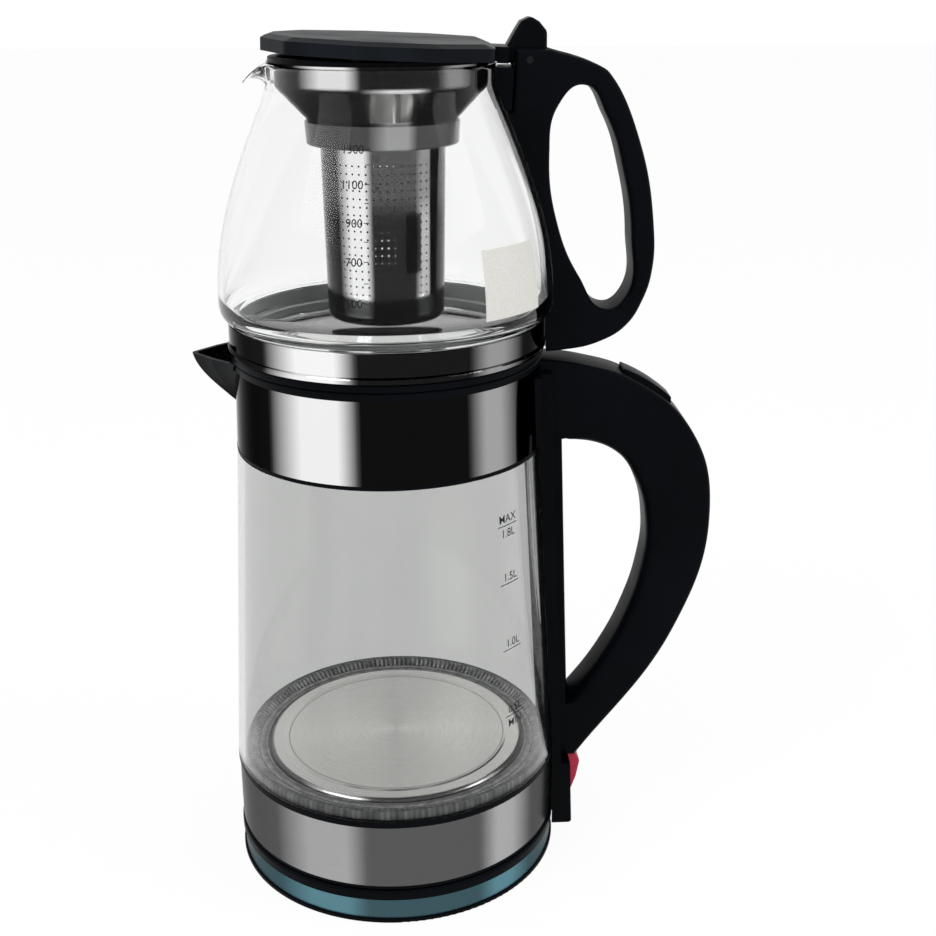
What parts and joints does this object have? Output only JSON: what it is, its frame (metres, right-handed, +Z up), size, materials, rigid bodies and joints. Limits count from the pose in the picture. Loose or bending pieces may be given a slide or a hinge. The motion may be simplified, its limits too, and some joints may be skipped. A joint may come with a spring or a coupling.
{
  "type": "electric tea maker",
  "caption": "Stacked electric tea maker: tapered glass kettle with a curved handle on a round cordless base, carrying a glass teapot with hinged lid, funnel and strainer.",
  "frame": {"origin": "centre of the power base's flat underside, on the kettle's vertical axis", "axes": "+Z up along the kettle's axis, +X towards both handles, spout and pouring lip towards -X, +Y to the side that holds the cord inlet"},
  "size_m": [0.231, 0.1527, 0.3849],
  "materials": {
    "black_plastic": "satin",
    "handle_plastic": "satin",
    "lid_plastic": "satin",
    "inner_plastic": "matte",
    "red_plastic": "gloss",
    "smoke_plastic": "gloss",
    "clear_plastic": "gloss",
    "rubber": "matte",
    "silicone": "matte",
    "trim_metal": "satin",
    "brushed_steel": "brushed",
    "mirror_steel": "polished",
    "plate_steel": "brushed",
    "screw_steel": "plain",
    "aluminium": "plain",
    "brass": "plain",
    "kettle_glass": "clear",
    "teapot_glass": "clear"
  },
  "bodies": {
    "power_base": {"base_bottom_cover": "black_plastic", "base_pads": "rubber", "base_screws": "screw_steel", "cord_inlet": "black_plastic", "base_trim_band": "trim_metal", "base_upper_shell": "black_plastic", "base_connector": "black_plastic", "base_contacts": "brass"},
    "kettle_connector": {"kettle_socket": "black_plastic", "socket_contacts": "brass"},
    "kettle": {"kettle_bottom_cover": "black_plastic", "steel_base_band": "brushed_steel", "glass_carrier_ring": "black_plastic", "kettle_bottom_screws": "screw_steel", "control_housing": "inner_plastic", "heating_plate": "plate_steel", "heat_spreader": "aluminium", "heating_element": "aluminium", "light_ring": "clear_plastic", "led_board": "inner_plastic", "kettle_glass": "kettle_glass", "glass_top_seal": "black_plastic", "mirror_band": "mirror_steel", "upper_collar": "black_plastic", "kettle_rim": "black_plastic", "kettle_spout": "black_plastic", "steam_tube": "silicone", "handle_shell": "handle_plastic", "handle_cover": "handle_plastic", "switch_pin": "screw_steel", "handle_spine": "black_plastic", "steam_switch": "inner_plastic", "bimetal_disc": "brass", "handle_screws": "screw_steel", "button_spring": "screw_steel"},
    "switch": {"switch_lever": "red_plastic"},
    "button": {"release_button": "handle_plastic"},
    "teapot": {"teapot_base_ring": "mirror_steel", "teapot_gasket": "silicone", "teapot_glass": "teapot_glass", "hinge_pin": "screw_steel", "ring_bracket": "screw_steel", "teapot_handle": "handle_plastic", "bracket_screw": "screw_steel", "neck_saddle": "handle_plastic"},
    "lid": {"teapot_lid": "lid_plastic", "lid_liner": "black_plastic", "thumb_lever": "lid_plastic", "lid_screws": "screw_steel"},
    "infuser": {"infuser_funnel": "mirror_steel", "funnel_ring": "black_plastic", "infuser_collar": "smoke_plastic", "infuser_tube": "mirror_steel"}
  },
  "joints": [
    {"name": "kettle_lift", "type": "slide", "parent": "power_base", "child": "kettle_connector", "axis": [0, 0, 1], "range_m": [0, 0.08]},
    {"name": "kettle_spin", "type": "hinge", "parent": "kettle_connector", "child": "kettle", "pos_m": [0, 0, 0.03], "axis": [0, 0, 1], "continuous": true},
    {"name": "switch_rock", "type": "hinge", "parent": "kettle", "child": "switch", "pos_m": [0.08066, 0, 0.033], "axis": [0, 1, 0], "range_deg": [0, 8]},
    {"name": "button_press", "type": "slide", "parent": "kettle", "child": "button", "axis": [0, 0, -1], "range_m": [0, 0.0025], "stiffness_N_per_m": 400, "springref_m": -0.002, "deforming": ["button_spring"]},
    {"name": "teapot_lift", "type": "slide", "parent": "kettle", "child": "teapot", "axis": [0, 0, 1], "range_m": [0, 0.08]},
    {"name": "lid_hinge", "type": "hinge", "parent": "teapot", "child": "lid", "pos_m": [0.0604, 0, 0.3686], "axis": [0, 1, 0], "range_deg": [-2.4, 70]},
    {"name": "infuser_turn", "type": "hinge", "parent": "teapot", "child": "infuser", "pos_m": [0, 0, 0.36], "axis": [0, 0, 1], "continuous": true}
  ]
}
